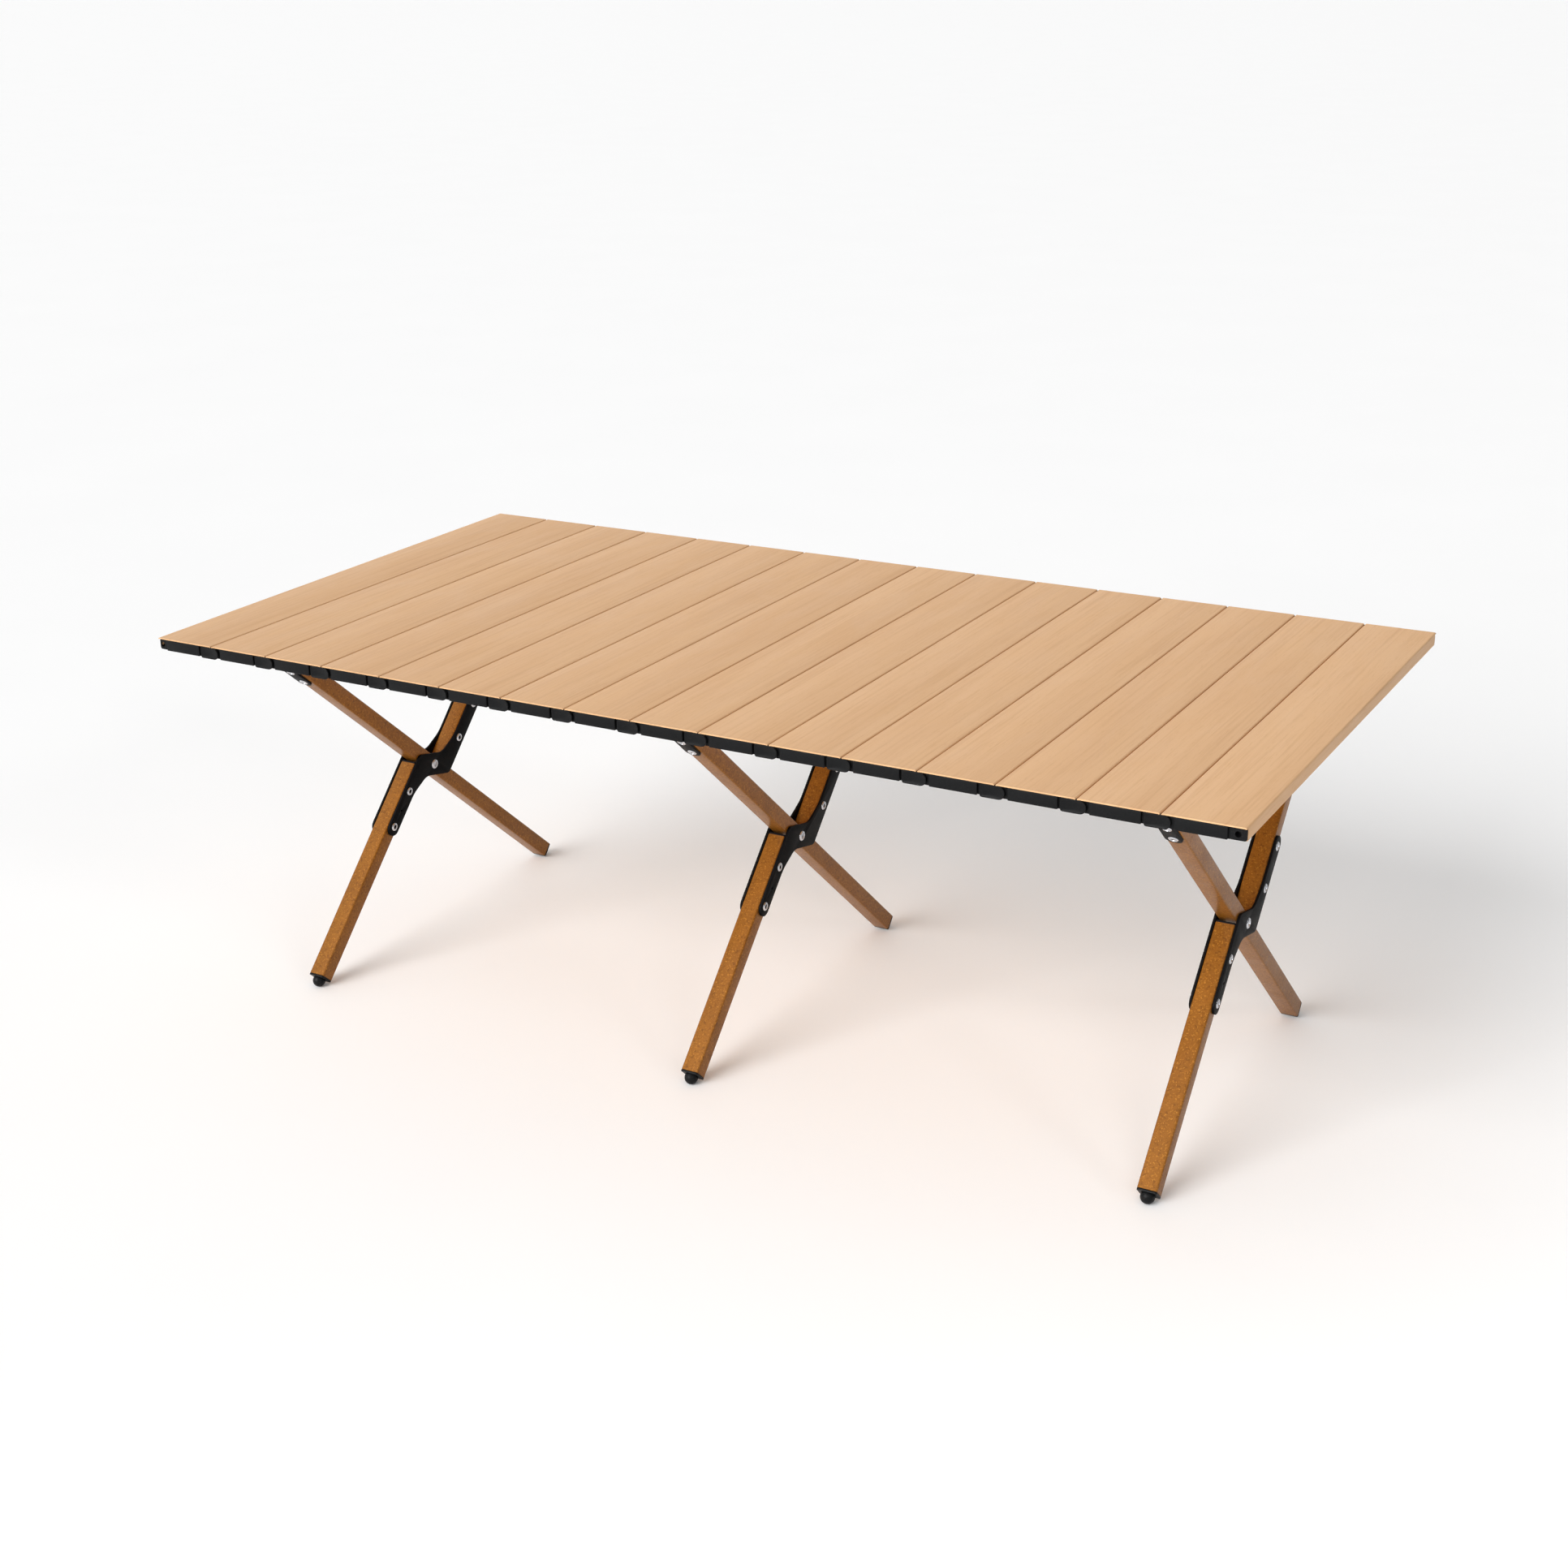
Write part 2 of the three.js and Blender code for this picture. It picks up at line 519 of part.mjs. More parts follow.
function outerRail(outwardSign) {
  const bar = railBar(outwardSign * RAIL_OFFSET).subtract(railBore(RAIL_LENGTH));
  const collarEnd = -outwardSign * (RAIL_OFFSET - RAIL_THICKNESS / 2 - RUNNING_GAP);
  const collar = alongY(disc(COLLAR_RADIUS), outwardSign * RAIL_OFFSET, collarEnd, ARC_STEPS);
  const pinEnd = -outwardSign * (RAIL_OFFSET + RAIL_THICKNESS / 2);
  const pin = alongY(disc(PIN_RADIUS), outwardSign * RAIL_OFFSET, pinEnd, HOLE_STEPS);
  return join(bar, collar, pin);
}

function addRails(table) {
  for (const [sideName, side] of [["near", -1], ["far", 1]]) {
    for (const [bayName, turn, direction] of [["left", Math.PI, -1], ["right", 0, 1]]) {
      const outwardSign = side * direction; // the left bay's rails are turned end for end
      const name = sideName + "_" + bayName;
      const inner = meshOf(name + "_inner_rail", innerRail(outwardSign), golden_coat);
      const outer = meshOf(name + "_outer_rail", outerRail(outwardSign), golden_coat);
      inner.position.set(direction * RAIL_PIN_REACH, side * HINGE_SPREAD, HINGE_HEIGHT);
      outer.position.set((direction * FRAME_SPACING) / 2, side * HINGE_SPREAD, HINGE_HEIGHT);
      inner.rotation.z = turn;
      outer.rotation.z = turn;
      table.add(inner, outer);
    }
  }
}

function addFrame(table, name, x, lugs) {
  const frame = new THREE.Group();
  frame.position.set(x, 0, PIVOT_HEIGHT);
  frame.add(straightLeg(name), crankedLeg(name));
  table.add(frame);
  addHubs(table, name, x, lugs);
}

const table = new THREE.Group();
addTop(table);
addFrame(table, "left", -FRAME_SPACING, [[1, OUTWARD]]);
addFrame(table, "middle", 0, [[-1, INWARD], [1, INWARD]]);
addFrame(table, "right", FRAME_SPACING, [[-1, OUTWARD]]);
addRails(table);

export default table;
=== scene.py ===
"""A folding picnic table with a roll-up top of hinged slats on three folding crosses."""

import math

import bpy
from mathutils import Matrix, Vector


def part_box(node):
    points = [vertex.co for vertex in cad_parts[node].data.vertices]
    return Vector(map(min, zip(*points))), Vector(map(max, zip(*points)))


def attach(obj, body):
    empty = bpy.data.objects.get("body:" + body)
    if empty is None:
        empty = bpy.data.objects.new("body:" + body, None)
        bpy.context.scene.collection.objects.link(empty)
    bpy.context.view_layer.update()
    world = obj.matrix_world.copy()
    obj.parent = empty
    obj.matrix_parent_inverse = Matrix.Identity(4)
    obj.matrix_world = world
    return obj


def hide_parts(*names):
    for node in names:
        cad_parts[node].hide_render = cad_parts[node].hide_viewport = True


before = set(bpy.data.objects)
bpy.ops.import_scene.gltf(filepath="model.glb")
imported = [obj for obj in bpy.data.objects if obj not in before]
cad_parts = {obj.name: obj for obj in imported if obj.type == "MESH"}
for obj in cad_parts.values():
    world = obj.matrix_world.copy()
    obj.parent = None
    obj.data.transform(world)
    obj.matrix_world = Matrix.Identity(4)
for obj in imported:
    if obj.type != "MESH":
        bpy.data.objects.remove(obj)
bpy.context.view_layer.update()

MM = 0.001
FRAME_NAMES = ("left", "middle", "right")

# The top, measured on the frame.
SLAT_NAMES = sorted(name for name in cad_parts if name.startswith("slat_"))
SLAT_LOW, SLAT_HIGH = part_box(SLAT_NAMES[-1])
SLAT_WIDTH = SLAT_HIGH.x - SLAT_LOW.x
SLAT_UNDERSIDE = SLAT_LOW.z
SLAT_THICKNESS = SLAT_HIGH.z - SLAT_LOW.z
SLAT_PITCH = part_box(SLAT_NAMES[1])[0].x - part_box(SLAT_NAMES[0])[0].x
SLAT_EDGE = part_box(SLAT_NAMES[0])[0].x
LINK_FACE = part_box(SLAT_NAMES[0])[1].y

# Slat ends, as the frame has them.
CAP_FACE = LINK_FACE - 0.5 * MM
SKIN_END = CAP_FACE - 0.5 * MM
SHELF_FACE = LINK_FACE - 3.1 * MM
WALL_END = SHELF_FACE - 1.6 * MM
LINK_THICKNESS = 2.8 * MM
LIP = 1.2 * MM
SLAT_WALL = 1.3 * MM
TOP_ROUND = 1.6 * MM
BOTTOM_ROUND = 1.0 * MM
LEFT_SHELF = 10.4 * MM
RIGHT_SHELF = 14.9 * MM
GROOVE = 1.3 * MM
LINK_HEIGHT = 12.2 * MM
LINK_AHEAD = 9.5 * MM
LINK_BEHIND = 14 * MM
LINK_MIDDLE = SLAT_THICKNESS - LIP - 0.3 * MM - LINK_HEIGHT / 2
PIN_HOLE_RADIUS = 2.8 * MM
PIN_HOLE_INSET = 8 * MM
NEXT_HOLE_INSET = 4 * MM
CAP_DEPTH = 14 * MM
CAP_CORNER_ROUND = 2.2 * MM

# Crosses.
PLATE_LOW, PLATE_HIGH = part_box("middle_right_crank_plate")
PIVOT = (PLATE_LOW + PLATE_HIGH) / 2
PLATE_OUTSIDE = PLATE_HIGH.x
TUBE_WIDTH = 20 * MM
TUBE_DEPTH = 18 * MM
TUBE_WALL = 1.3 * MM
TUBE_ROUND = 1.8 * MM
CRANK_OFFSET = 22.8 * MM
HALF_LEG_START = 15.5 * MM
FRAME_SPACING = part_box("right_pivot_bolt")[0].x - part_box("middle_pivot_bolt")[0].x
BALL_RADIUS = 7.2 * MM
BALL_NECK = 2.3 * MM
FOOT_FLANGE = 2 * MM
PLUG_FLANGE = 2 * MM
PLUG_DEPTH = 12 * MM
FOOT_PLUG_DEPTH = 14 * MM
FOOT_SPREAD = 220 * MM
PLATE_RIVETS = (47.5 * MM, 94 * MM)
PLATE_HOLE = 73 * MM
STRAP_RIVETS = (252.5 * MM, 277.5 * MM)
STRAP_FACE = TUBE_DEPTH / 2 + 2.3 * MM
RUNNING_GAP = 0.3 * MM


# Choosing and placing.
def choose(piece):
    if bpy.context.object and bpy.context.object.mode != "OBJECT":
        bpy.ops.object.mode_set(mode="OBJECT")
    bpy.ops.object.select_all(action="DESELECT")
    piece.select_set(True)
    bpy.context.view_layer.objects.active = piece


def settle(piece):
    """Puts a piece's place and turn into its mesh."""
    choose(piece)
    bpy.ops.object.transform_apply(location=True, rotation=True, scale=True)
    return piece


def block(name, low, high):
    """A box between two corners, to be shaped further."""
    bpy.ops.object.select_all(action="DESELECT")
    bpy.ops.mesh.primitive_cube_add(size=1)
    piece = bpy.context.object
    piece.name = name
    piece.location = [(a + b) / 2 for a, b in zip(low, high)]
    piece.scale = [b - a for a, b in zip(low, high)]
    return settle(piece)


def round_bar(name, radius, length, axis="X", sides=32):
    """A round bar about the origin, to be shaped further."""
    bpy.ops.object.select_all(action="DESELECT")
    bpy.ops.mesh.primitive_cylinder_add(vertices=sides, radius=radius, depth=length)
    piece = bpy.context.object
    piece.name = name
    if axis == "X":
        piece.rotation_euler = (0, math.pi / 2, 0)
    if axis == "Y":
        piece.rotation_euler = (math.pi / 2, 0, 0)
    return settle(piece)


def pick(piece, kind, wanted):
    """Enters edit mode with only the vertices, edges or faces chosen for which wanted is true."""
    choose(piece)
    bpy.ops.object.mode_set(mode="EDIT")
    bpy.ops.mesh.select_mode(type=kind)
    bpy.ops.mesh.select_all(action="DESELECT")
    bpy.ops.object.mode_set(mode="OBJECT")
    mesh = piece.data
    items = {"VERT": mesh.vertices, "EDGE": mesh.edges, "FACE": mesh.polygons}[kind]
    for item in items:
        item.select = wanted(item)
    bpy.ops.object.mode_set(mode="EDIT")


def leave():
    bpy.ops.object.mode_set(mode="OBJECT")


def ends_of(piece, edge):
    return [piece.data.vertices[i].co for i in edge.vertices]


def runs_along(piece, edge, axis):
    a, b = ends_of(piece, edge)
    along = (b - a).normalized()
    return abs(along[axis]) > 0.99


def use(piece, kind, **values):
    """Adds a modifier and applies it."""
    choose(piece)
    modifier = piece.modifiers.new(kind.title(), kind)
    for key, value in values.items():
        setattr(modifier, key, value)
    bpy.ops.object.modifier_apply(modifier=modifier.name)
    return piece


def soften(piece, width, segments=2, angle=30):
    """Rounds the sharp edges and shades the rest smooth."""
    limit = math.radians(angle)
    use(piece, "BEVEL", width=width, segments=segments, limit_method="ANGLE", angle_limit=limit)
    choose(piece)
    bpy.ops.object.shade_smooth_by_angle(angle=math.radians(40))
    return piece


def copy_of(piece, name, shift=(0, 0, 0)):
    copy = bpy.data.objects.new(name, piece.data.copy())
    bpy.context.scene.collection.objects.link(copy)
    copy.location = shift
    return settle(copy)


def mirrored(piece, name, axis):
    """A copy on the other side of the origin's plane across an axis."""
    copy = bpy.data.objects.new(name, piece.data.copy())
    bpy.context.scene.collection.objects.link(copy)
    copy.scale[axis] = -1
    settle(copy)
    pick(copy, "FACE", lambda face: True)
    bpy.ops.mesh.normals_make_consistent(inside=False)
    leave()
    return copy


def cut(piece, *cutters):
    """Takes the cutters out of a piece and removes them."""
    for cutter in cutters:
        use(piece, "BOOLEAN", operation="DIFFERENCE", object=cutter, solver="EXACT")
        bpy.data.objects.remove(cutter)
    return piece


def finish_piece(piece, material, body, slot, *replaced):
    piece.data.materials.clear()
    piece.data.materials.append(material)
    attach(piece, body)
    if replaced:
        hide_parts(*replaced)


# Camera.
def add_camera():
    data = bpy.data.cameras.new("camera")
    data.sensor_width = 36
    data.lens = 50.62
    data.clip_end = 1000
    camera = bpy.data.objects.new("camera", data)
    bpy.context.scene.collection.objects.link(camera)
    camera.location = (1.0993, -1.9329, 1.1016)
    forward = Vector((-0.46506, 0.81121, -0.35448))
    level = forward.to_track_quat("-Z", "Y").to_matrix()
    right = Vector((0.87064, 0.49162, -0.01719))
    roll = math.atan2(right.dot(level.col[1]), right.dot(level.col[0]))
    camera.rotation_euler = level.to_euler()
    camera.rotation_euler.rotate_axis("Z", roll)
    bpy.context.scene.camera = camera


# Node helpers.
def node_in(tree, kind, inputs=(), **values):
    made = tree.nodes.new(kind)
    for key, value in values.items():
        setattr(made, key, value)
    for key, value in dict(inputs).items():
        if isinstance(value, bpy.types.NodeSocket):
            tree.links.new(value, made.inputs[key])
        else:
            made.inputs[key].default_value = value
    return made


def group(name, inputs, outputs):
    """A shader node group with named sockets; gives the tree, its input node and its output node."""
    tree = bpy.data.node_groups.new(name, "ShaderNodeTree")
    for label, kind in inputs:
        tree.interface.new_socket(label, in_out="INPUT", socket_type="NodeSocket" + kind)
    for label, kind in outputs:
        tree.interface.new_socket(label, in_out="OUTPUT", socket_type="NodeSocket" + kind)
    return tree, tree.nodes.new("NodeGroupInput"), tree.nodes.new("NodeGroupOutput")


def stretched(tree, vector, scale):
    return node_in(tree, "ShaderNodeMapping", {"Vector": vector, "Scale": scale}).outputs["Vector"]


def noise(tree, vector, scale, detail=2.0, rough=0.5, distortion=0.0):
    values = {"Vector": vector, "Scale": scale, "Detail": detail}
    values["Roughness"] = rough
    values["Distortion"] = distortion
    return node_in(tree, "ShaderNodeTexNoise", values).outputs["Fac"]


def between(tree, value, low, high, to_low=0.0, to_high=1.0):
    """Stretches a value from one range to another, held at both ends."""
    values = {"Value": value, "From Min": low, "From Max": high, "To Min": to_low, "To Max": to_high}
    return node_in(tree, "ShaderNodeMapRange", values).outputs["Result"]


def mixed(tree, amount, first, second, blend="MIX"):
    made = tree.nodes.new("ShaderNodeMix")
    made.data_type = "RGBA"
    made.blend_type = blend
    sockets = {"Factor_Float": amount, "A_Color": first, "B_Color": second}
    for socket in made.inputs:
        value = sockets.get(socket.identifier)
        if isinstance(value, bpy.types.NodeSocket):
            tree.links.new(value, socket)
        elif value is not None:
            socket.default_value = value
    return next(o for o in made.outputs if o.identifier == "Result_Color")


def sums(tree, operation, first, second):
    made = tree.nodes.new("ShaderNodeMath")
    made.operation = operation
    for socket, value in zip(made.inputs, (first, second)):
        if isinstance(value, bpy.types.NodeSocket):
            tree.links.new(value, socket)
        else:
            socket.default_value = value
    return made.outputs[0]


# Shared effects.
def cut_per_slat(tree, place):
    """Shifts the grain by a step from one slat to the next, as if each were printed on its own."""
    parts = node_in(tree, "ShaderNodeSeparateXYZ", {"Vector": place}).outputs
    count = sums(tree, "DIVIDE", sums(tree, "SUBTRACT", parts["X"], SLAT_EDGE), SLAT_PITCH)
    number = sums(tree, "FLOOR", count, 0.0)
    along = sums(tree, "ADD", parts["Y"], sums(tree, "MULTIPLY", number, 0.83))
    deep = sums(tree, "ADD", parts["Z"], sums(tree, "MULTIPLY", number, 0.31))
    values = {"X": parts["X"], "Y": along, "Z": deep}
    return node_in(tree, "ShaderNodeCombineXYZ", values).outputs["Vector"]


def make_wood_grain():
    """Printed beech: slow changes of tone, long fine streaks, short flecks, all along the slat."""
    inputs = [("Vector", "Vector"), ("Light", "Color"), ("Middle", "Color"), ("Dark", "Color")]
    outputs = [("Color", "Color"), ("Height", "Float")]
    tree, start, end = group("wood grain", inputs, outputs)
    place = cut_per_slat(tree, start.outputs["Vector"])
    tone = noise(tree, stretched(tree, place, (30, 2.2, 30)), 1, 3, 0.55, 0.4)
    streak = noise(tree, stretched(tree, place, (300, 6, 300)), 1, 4, 0.65, 0.35)
    fine = noise(tree, stretched(tree, place, (1100, 22, 1100)), 1, 2, 0.6)
    fleck = noise(tree, stretched(tree, place, (900, 70, 900)), 1, 1, 0.5)
    colour = mixed(tree, between(tree, tone, 0.35, 0.65), start.outputs["Light"], start.outputs["Middle"])
    dark = between(tree, streak, 0.48, 0.72, 0.0, 0.5)
    colour = mixed(tree, dark, colour, start.outputs["Dark"])
    pale = between(tree, fine, 0.5, 0.75, 0.0, 0.45)
    colour = mixed(tree, pale, colour, start.outputs["Light"])
    spots = between(tree, fleck, 0.62, 0.74, 0.0, 0.3)
    colour = mixed(tree, spots, colour, start.outputs["Dark"])
    height = sums(tree, "SUBTRACT", sums(tree, "MULTIPLY", fine, 0.5), sums(tree, "MULTIPLY", spots, 0.6))
    tree.links.new(colour, end.inputs["Color"])
    tree.links.new(height, end.inputs["Height"])
    return tree


def make_powder_speckle():
    """Powder coat: tiny light and dark grains over an uneven base, with orange peel."""
    inputs = [("Vector", "Vector"), ("Base", "Color"), ("Light Grain", "Color"), ("Dark Grain", "Color")]
    outputs = [("Color", "Color"), ("Height", "Float")]
    tree, start, end = group("powder speckle", inputs, outputs)
    place = start.outputs["Vector"]
    patch = noise(tree, place, 26, 3, 0.6)
    grain = noise(tree, place, 560, 2, 0.7)
    coarse = noise(tree, place, 320, 2, 0.6)
    peel = noise(tree, place, 430, 1, 0.5)
    light = between(tree, grain, 0.56, 0.68, 0.0, 0.75)
    dark = between(tree, coarse, 0.54, 0.68, 0.0, 0.6)
    worn = between(tree, patch, 0.4, 0.75, 0.0, 0.3)
    colour = mixed(tree, worn, start.outputs["Base"], start.outputs["Dark Grain"])
    colour = mixed(tree, dark, colour, start.outputs["Dark Grain"])
    colour = mixed(tree, light, colour, start.outputs["Light Grain"])
    height = sums(tree, "ADD", sums(tree, "MULTIPLY", grain, 0.5), peel)
    tree.links.new(colour, end.inputs["Color"])
    tree.links.new(height, end.inputs["Height"])
    return tree


def make_handling():
    """Marks of use: soft cloudy smears and a little dust that gathers on what faces up."""
    inputs = [("Vector", "Vector"), ("Smooth", "Float"), ("Rough", "Float")]
    outputs = [("Roughness", "Float"), ("Dust", "Float")]
    tree, start, end = group("handling", inputs, outputs)
    smear = noise(tree, stretched(tree, start.outputs["Vector"], (30, 9, 30)), 1, 4, 0.6, 0.6)
    fine = noise(tree, start.outputs["Vector"], 900, 2, 0.6)
    both = sums(tree, "ADD", sums(tree, "MULTIPLY", smear, 0.7), sums(tree, "MULTIPLY", fine, 0.3))
    values = {"Value": both, "From Min": 0.35, "From Max": 0.65}
    values["To Min"] = start.outputs["Smooth"]
    values["To Max"] = start.outputs["Rough"]
    result = node_in(tree, "ShaderNodeMapRange", values).outputs["Result"]
    geometry = node_in(tree, "ShaderNodeNewGeometry")
    facing_up = node_in(tree, "ShaderNodeSeparateXYZ", {"Vector": geometry.outputs["Normal"]})
    up = between(tree, facing_up.outputs["Z"], 0.3, 1.0)
    settled = sums(tree, "MULTIPLY", up, between(tree, smear, 0.4, 0.75))
    dust = sums(tree, "MULTIPLY", settled, between(tree, fine, 0.4, 0.7))
    tree.links.new(result, end.inputs["Roughness"])
    tree.links.new(dust, end.inputs["Dust"])
    return tree


WOOD_GRAIN = make_wood_grain()
POWDER_SPECKLE = make_powder_speckle()
HANDLING = make_handling()


def placed_group(tree, effect, inputs):
    made = tree.nodes.new("ShaderNodeGroup")
    made.node_tree = effect
    for key, value in inputs.items():
        if isinstance(value, bpy.types.NodeSocket):
            tree.links.new(value, made.inputs[key])
        else:
            made.inputs[key].default_value = value
    return made


def new_material(name, metallic=0.0, **sockets):
    """A material with a plain shader; gives it with its tree, its shader and its object coordinates."""
    material = bpy.data.materials.new(name)
    material.use_nodes = True
    tree = material.node_tree
    shader = tree.nodes["Principled BSDF"]
    shader.inputs["Metallic"].default_value = metallic
    for key, value in sockets.items():
        shader.inputs[key.replace("_", " ")].default_value = value
    place = node_in(tree, "ShaderNodeTexCoord").outputs["Object"]
    return material, tree, shader, place


def bump(tree, shader, height, strength, distance):
    values = {"Height": height, "Strength": strength, "Distance": distance}
    made = node_in(tree, "ShaderNodeBump", values)
    tree.links.new(made.outputs["Normal"], shader.inputs["Normal"])


def dusted(tree, colour, dust, amount, dust_colour=(0.42, 0.38, 0.33, 1)):
    return mixed(tree, sums(tree, "MULTIPLY", dust, amount), colour, dust_colour)


def make_beech_film():
    material, tree, shader, place = new_material("beech film", Specular_IOR_Level=0.25)
    colours = {
        "Vector": place,
        "Light": (0.705, 0.432, 0.228, 1),
        "Middle": (0.660, 0.392, 0.200, 1),
        "Dark": (0.545, 0.295, 0.138, 1),
    }
    grain = placed_group(tree, WOOD_GRAIN, colours)
    use_marks = placed_group(tree, HANDLING, {"Vector": place, "Smooth": 0.42, "Rough": 0.58})
    tree.links.new(grain.outputs["Color"], shader.inputs["Base Color"])
    tree.links.new(use_marks.outputs["Roughness"], shader.inputs["Roughness"])
    bump(tree, shader, grain.outputs["Height"], 0.35, 0.06 * MM)
    return material


def make_golden_coat():
    material, tree, shader, place = new_material("golden coat", 0.25, Specular_IOR_Level=0.15)
    shader.inputs["Coat Weight"].default_value = 0.2
    shader.inputs["Coat Roughness"].default_value = 0.14
    colours = {
        "Vector": place,
        "Base": (0.250, 0.093, 0.010, 1),
        "Light Grain": (0.460, 0.195, 0.024, 1),
        "Dark Grain": (0.120, 0.040, 0.005, 1),
    }
    speckle = placed_group(tree, POWDER_SPECKLE, colours)
    use_marks = placed_group(tree, HANDLING, {"Vector": place, "Smooth": 0.36, "Rough": 0.5})
    tree.links.new(speckle.outputs["Color"], shader.inputs["Base Color"])
    tree.links.new(use_marks.outputs["Roughness"], shader.inputs["Roughness"])
    bump(tree, shader, speckle.outputs["Height"], 0.3, 0.08 * MM)
    return material


def make_black_steel():
    material, tree, shader, place = new_material("black steel", 0.0, Specular_IOR_Level=0.04)
    colours = {
        "Vector": place,
        "Base": (0.0055, 0.0055, 0.006, 1),
        "Light Grain": (0.012, 0.012, 0.013, 1),
        "Dark Grain": (0.003, 0.003, 0.0035, 1),
    }
    speckle = placed_group(tree, POWDER_SPECKLE, colours)
    use_marks = placed_group(tree, HANDLING, {"Vector": place, "Smooth": 0.38, "Rough": 0.55})
    colour = dusted(tree, speckle.outputs["Color"], use_marks.outputs["Dust"], 0.02)
    tree.links.new(colour, shader.inputs["Base Color"])
    tree.links.new(use_marks.outputs["Roughness"], shader.inputs["Roughness"])
    bump(tree, shader, speckle.outputs["Height"], 0.35, 0.08 * MM)
    return material


def make_black_plastic():
    material, tree, shader, place = new_material("black plastic", 0.0, Specular_IOR_Level=0.12)
    colours = {
        "Vector": place,
        "Base": (0.006, 0.0062, 0.0066, 1),
        "Light Grain": (0.010, 0.0105, 0.011, 1),
        "Dark Grain": (0.004, 0.004, 0.0045, 1),
    }
    speckle = placed_group(tree, POWDER_SPECKLE, colours)
    use_marks = placed_group(tree, HANDLING, {"Vector": place, "Smooth": 0.34, "Rough": 0.52})
    colour = dusted(tree, speckle.outputs["Color"], use_marks.outputs["Dust"], 0.02)
    tree.links.new(colour, shader.inputs["Base Color"])
    tree.links.new(use_marks.outputs["Roughness"], shader.inputs["Roughness"])
    bump(tree, shader, speckle.outputs["Height"], 0.2, 0.05 * MM)
    return material


def make_bright_steel():
    material, tree, shader, place = new_material("bright steel", 1.0)
    colours = {
        "Vector": place,
        "Base": (0.62, 0.63, 0.66, 1),
        "Light Grain": (0.74, 0.75, 0.78, 1),
        "Dark Grain": (0.42, 0.43, 0.46, 1),
    }
    speckle = placed_group(tree, POWDER_SPECKLE, colours)
    use_marks = placed_group(tree, HANDLING, {"Vector": place, "Smooth": 0.18, "Rough": 0.36})
    tree.links.new(speckle.outputs["Color"], shader.inputs["Base Color"])
    tree.links.new(use_marks.outputs["Roughness"], shader.inputs["Roughness"])
    bump(tree, shader, speckle.outputs["Height"], 0.15, 0.04 * MM)
    return material


def make_studio_floor():
    material, tree, shader, place = new_material("studio floor", 0.0, Specular_IOR_Level=0.2)
    shade = between(tree, noise(tree, place, 3, 3), 0.3, 0.7, 0.96, 0.97)
    colour = node_in(tree, "ShaderNodeCombineColor", {"Red": shade, "Green": shade, "Blue": shade})
    tree.links.new(colour.outputs["Color"], shader.inputs["Base Color"])
    shader.inputs["Roughness"].default_value = 0.7
    return material


BEECH_FILM = make_beech_film()
GOLDEN_COAT = make_golden_coat()
BLACK_STEEL = make_black_steel()
BLACK_PLASTIC = make_black_plastic()
BRIGHT_STEEL = make_bright_steel()


# Slats. Each is modelled about X = 0 with its underside at Z = 0.
def split(piece, point, normal):
    """Adds a ring of edges where a plane crosses a piece."""
    pick(piece, "FACE", lambda face: True)
    bpy.ops.mesh.bisect(plane_co=point, plane_no=normal)
    leave()


def model_extrusion():
    """A hollow extrusion with rounded long edges and two grooves; its upper skin runs on over the caps."""
    half = SLAT_WIDTH / 2
    piece = block("extrusion", (-half, -SKIN_END, 0), (half, SKIN_END, SLAT_THICKNESS))
    pick(piece, "EDGE", lambda e: runs_along(piece, e, 1) and ends_of(piece, e)[0].z > MM)
    bpy.ops.mesh.bevel(offset=TOP_ROUND, segments=4, affect="EDGES")
    leave()
    pick(piece, "EDGE", lambda e: runs_along(piece, e, 1) and ends_of(piece, e)[0].z < MM / 10)
    bpy.ops.mesh.bevel(offset=BOTTOM_ROUND, segments=3, affect="EDGES")
    leave()
    pick(piece, "FACE", lambda face: abs(face.normal.y) > 0.9)
    bpy.ops.mesh.delete(type="FACE")
    leave()
    skin_under = SLAT_THICKNESS - SLAT_WALL
    split(piece, (0, 0, skin_under), (0, 0, 1))
    split(piece, (0, -WALL_END, 0), (0, 1, 0))
    split(piece, (0, WALL_END, 0), (0, 1, 0))
    pick(piece, "FACE", lambda face: abs(face.center.y) > WALL_END and face.center.z < skin_under)
    bpy.ops.mesh.delete(type="FACE")
    leave()
    use(piece, "SOLIDIFY", thickness=SLAT_WALL, offset=-1)
    for x in (-half / 2, half / 2):
        cut(piece, block("cutter", (x - 4 * MM, -1, -MM), (x + 4 * MM, 1, 0.5 * MM)))
    return soften(piece, 0.15 * MM, 1, 50)


